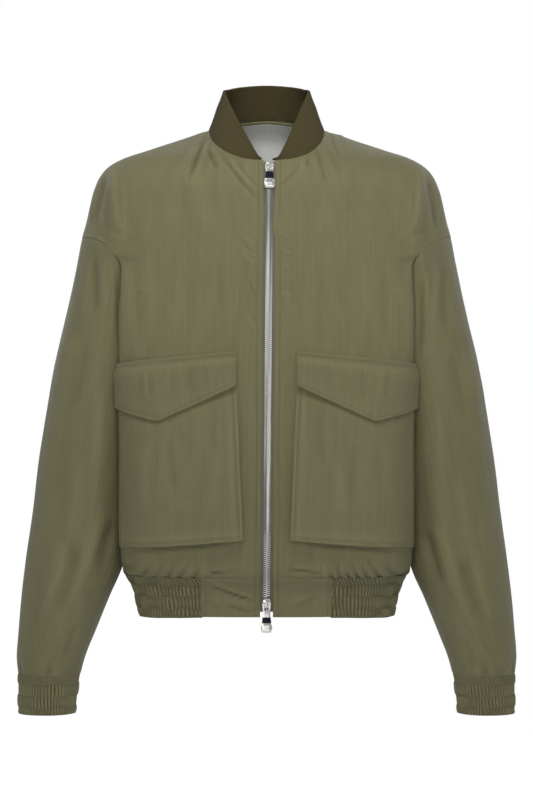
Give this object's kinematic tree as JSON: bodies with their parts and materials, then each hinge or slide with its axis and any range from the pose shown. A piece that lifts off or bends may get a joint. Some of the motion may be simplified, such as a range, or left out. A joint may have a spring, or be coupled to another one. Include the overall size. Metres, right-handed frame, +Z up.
{
  "type": "bomber jacket",
  "caption": "Filled-out bomber jacket, hollow inside, with rib stand collar, zip front, flapped bellows pockets, drop shoulders and shirred hem and cuffs.",
  "frame": {"origin": "midway between the two side neck points, at the height of the shoulders that carry the jacket", "axes": "+Z up, the front faces -Y, the wearer's left sleeve at +X"},
  "size_m": [0.647, 0.2953, 0.8201],
  "materials": {
    "shell_nylon": "plain-woven nylon, soft satin sheen, olive",
    "rib_knit": "fine rib knit, matt, dark brown olive",
    "lining_cotton": "plain woven lining, matt, pale grey",
    "zip_tape": "woven tape, matt, dark olive",
    "zip_metal": "polished nickel plate"
  },
  "bodies": {
    "garment": {"front_right": "shell_nylon", "sleeve_right": "shell_nylon", "cuff_right": "shell_nylon", "hem_tab_right": "shell_nylon", "pocket_right": "shell_nylon", "flap_right": "shell_nylon", "zip_tape_right": "zip_tape", "front_left": "shell_nylon", "sleeve_left": "shell_nylon", "cuff_left": "shell_nylon", "hem_tab_left": "shell_nylon", "pocket_left": "shell_nylon", "flap_left": "shell_nylon", "zip_tape_left": "zip_tape", "back": "shell_nylon", "hem_elastic": "shell_nylon", "neck_facing": "shell_nylon", "collar": "rib_knit", "back_lining": "lining_cotton", "zip_chain": "zip_metal", "top_slider": "zip_metal", "bottom_slider": "zip_metal"},
    "top_pull": {"top_pull": "zip_metal"},
    "bottom_pull": {"bottom_pull": "zip_metal"}
  },
  "joints": [
    {"name": "top_pull_hinge", "type": "hinge", "parent": "garment", "child": "top_pull", "pos_m": [0.00376, -0.10952, -0.0535], "axis": [-1, 0, 0], "range_deg": [0, 150]},
    {"name": "bottom_pull_hinge", "type": "hinge", "parent": "garment", "child": "bottom_pull", "pos_m": [0.00012, -0.11089, -0.6065], "axis": [-1, 0, 0], "range_deg": [0, 150]}
  ]
}
